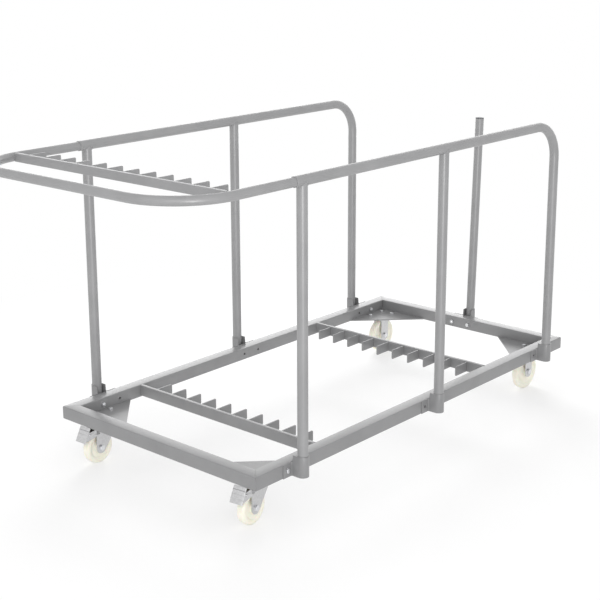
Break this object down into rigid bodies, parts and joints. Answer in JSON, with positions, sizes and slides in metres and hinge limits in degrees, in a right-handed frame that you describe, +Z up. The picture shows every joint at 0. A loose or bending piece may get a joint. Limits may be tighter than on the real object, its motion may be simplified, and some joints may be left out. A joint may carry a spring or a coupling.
{
  "type": "banquet table trolley",
  "caption": "Grey tube trolley on four casters that carries folded round tables on edge, with toothed combs, plug-in front hoop and socketed side frames.",
  "frame": {"origin": "bottom centre of the bounding box, on the floor", "axes": "+X to the rear, away from the front hoop; +Y to the right hand of someone facing the front; +Z up"},
  "size_m": [1.926, 0.8886, 0.967],
  "materials": {
    "frame_paint": "semi-gloss powder coat",
    "zinc_plate": "bright zinc plate",
    "nylon": "natural ivory nylon",
    "plug_plastic": "matt moulded"
  },
  "bodies": {
    "frame": {"front_rail": "frame_paint", "rear_rail": "frame_paint", "left_rail": "frame_paint", "right_rail": "frame_paint", "front_left_corner_plate": "frame_paint", "front_right_corner_plate": "frame_paint", "rear_left_corner_plate": "frame_paint", "rear_right_corner_plate": "frame_paint", "left_sockets": "frame_paint", "right_sockets": "frame_paint", "rear_socket": "frame_paint", "socket_bolts": "zinc_plate", "socket_nuts": "zinc_plate", "left_top_rail": "frame_paint", "right_top_rail": "frame_paint", "left_front_post": "frame_paint", "right_front_post": "frame_paint", "left_middle_post": "frame_paint", "right_middle_post": "frame_paint", "front_comb_bar": "frame_paint", "front_comb_teeth": "frame_paint", "rear_comb_bar": "frame_paint", "rear_comb_teeth": "frame_paint", "caster_bolts": "zinc_plate", "caster_nuts": "zinc_plate", "kingpins": "zinc_plate", "swivel_balls": "zinc_plate", "front_left_top_plate": "zinc_plate", "front_right_top_plate": "zinc_plate", "rear_left_top_plate": "zinc_plate", "rear_right_top_plate": "zinc_plate", "rear_left_fork": "zinc_plate", "rear_left_axle_bolt": "zinc_plate", "rear_left_axle_nut": "zinc_plate", "rear_left_axle_bush": "zinc_plate", "rear_right_fork": "zinc_plate", "rear_right_axle_bolt": "zinc_plate", "rear_right_axle_nut": "zinc_plate", "rear_right_axle_bush": "zinc_plate"},
    "hoop": {"front_hoop": "frame_paint", "upper_comb_bar": "frame_paint", "upper_comb_teeth": "frame_paint"},
    "loose_post": {"rear_post": "frame_paint", "rear_post_cap": "plug_plastic"},
    "front_left_wheel_body": {"front_left_wheel": "nylon"},
    "front_left_caster": {"front_left_fork": "zinc_plate", "front_left_axle_bolt": "zinc_plate", "front_left_axle_nut": "zinc_plate", "front_left_axle_bush": "zinc_plate", "front_left_pedal_pin": "zinc_plate"},
    "front_left_pedal": {"front_left_brake_pedal": "zinc_plate"},
    "front_right_wheel_body": {"front_right_wheel": "nylon"},
    "front_right_caster": {"front_right_fork": "zinc_plate", "front_right_axle_bolt": "zinc_plate", "front_right_axle_nut": "zinc_plate", "front_right_axle_bush": "zinc_plate", "front_right_pedal_pin": "zinc_plate"},
    "front_right_pedal": {"front_right_brake_pedal": "zinc_plate"},
    "rear_left_wheel_body": {"rear_left_wheel": "nylon"},
    "rear_right_wheel_body": {"rear_right_wheel": "nylon"}
  },
  "joints": [
    {"name": "hoop_pull_out", "type": "slide", "parent": "frame", "child": "hoop", "axis": [-1, 0, 0], "range_m": [0, 0.13]},
    {"name": "rear_post_lift_out", "type": "slide", "parent": "frame", "child": "loose_post", "axis": [0.0349, 0, 0.9994], "range_m": [0, 0.1]},
    {"name": "front_left_swivel", "type": "hinge", "parent": "frame", "child": "front_left_caster", "pos_m": [-0.56997, -0.318, 0.136], "axis": [0, 0, 1], "continuous": true},
    {"name": "front_left_wheel_spin", "type": "hinge", "parent": "front_left_caster", "child": "front_left_wheel_body", "pos_m": [-0.61273, -0.32249, 0.05], "axis": [-0.1045, 0.9945, 0], "continuous": true},
    {"name": "front_left_brake", "type": "hinge", "parent": "front_left_caster", "child": "front_left_pedal", "pos_m": [-0.65599, -0.32704, 0.103], "axis": [0.1045, -0.9945, 0], "range_deg": [0, 10]},
    {"name": "front_right_swivel", "type": "hinge", "parent": "frame", "child": "front_right_caster", "pos_m": [-0.56997, 0.318, 0.136], "axis": [0, 0, 1], "continuous": true},
    {"name": "front_right_wheel_spin", "type": "hinge", "parent": "front_right_caster", "child": "front_right_wheel_body", "pos_m": [-0.61296, 0.31725, 0.05], "axis": [-0.0175, 0.9998, 0], "continuous": true},
    {"name": "front_right_brake", "type": "hinge", "parent": "front_right_caster", "child": "front_right_pedal", "pos_m": [-0.65646, 0.31649, 0.103], "axis": [0.0175, -0.9998, 0], "range_deg": [0, 10]},
    {"name": "rear_left_wheel_spin", "type": "hinge", "parent": "frame", "child": "rear_left_wheel_body", "pos_m": [0.79203, -0.318, 0.0625], "axis": [0, 1, 0], "continuous": true},
    {"name": "rear_right_wheel_spin", "type": "hinge", "parent": "frame", "child": "rear_right_wheel_body", "pos_m": [0.79203, 0.318, 0.0625], "axis": [0, 1, 0], "continuous": true}
  ]
}
